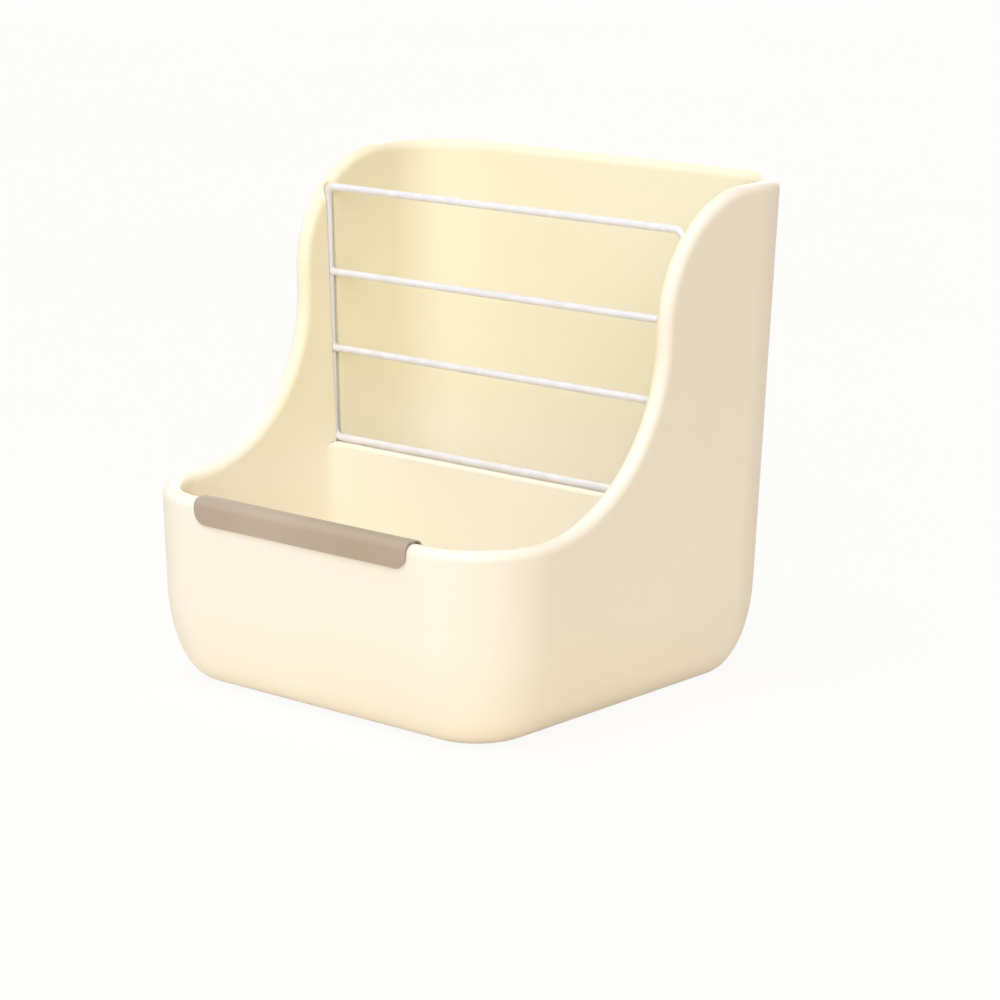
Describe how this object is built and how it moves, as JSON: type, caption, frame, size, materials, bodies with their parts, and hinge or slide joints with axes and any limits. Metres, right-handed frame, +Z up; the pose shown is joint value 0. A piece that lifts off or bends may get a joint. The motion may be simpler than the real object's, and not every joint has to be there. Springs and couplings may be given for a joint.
{
  "type": "hay feeder box",
  "caption": "Moulded feed bowl with side wings, a hay compartment behind a low partition, a lift-out wire rack above it and a sheet guard clipped over the front rim.",
  "frame": {"origin": "centre of the underside, on the surface the feeder stands on", "axes": "+Z up, -Y to the front where the bowl is, +X to the right of someone who faces the front"},
  "size_m": [0.2, 0.189, 0.198],
  "materials": {
    "box": "satin cream moulded plastic",
    "rack_wire": "white powder-coated steel wire",
    "guard_sheet": "taupe powder-coated sheet metal"
  },
  "bodies": {
    "box": {"feeder_box": "box"},
    "rack": {"rack_frame": "rack_wire", "upper_rung": "rack_wire", "lower_rung": "rack_wire"},
    "guard": {"chew_guard": "guard_sheet"}
  },
  "joints": [
    {"name": "rack_lift", "type": "slide", "parent": "box", "child": "rack", "axis": [0, 0, 1], "range_m": [0, 0.12]},
    {"name": "guard_lift", "type": "slide", "parent": "box", "child": "guard", "axis": [0, 0, 1], "range_m": [0, 0.02]}
  ]
}
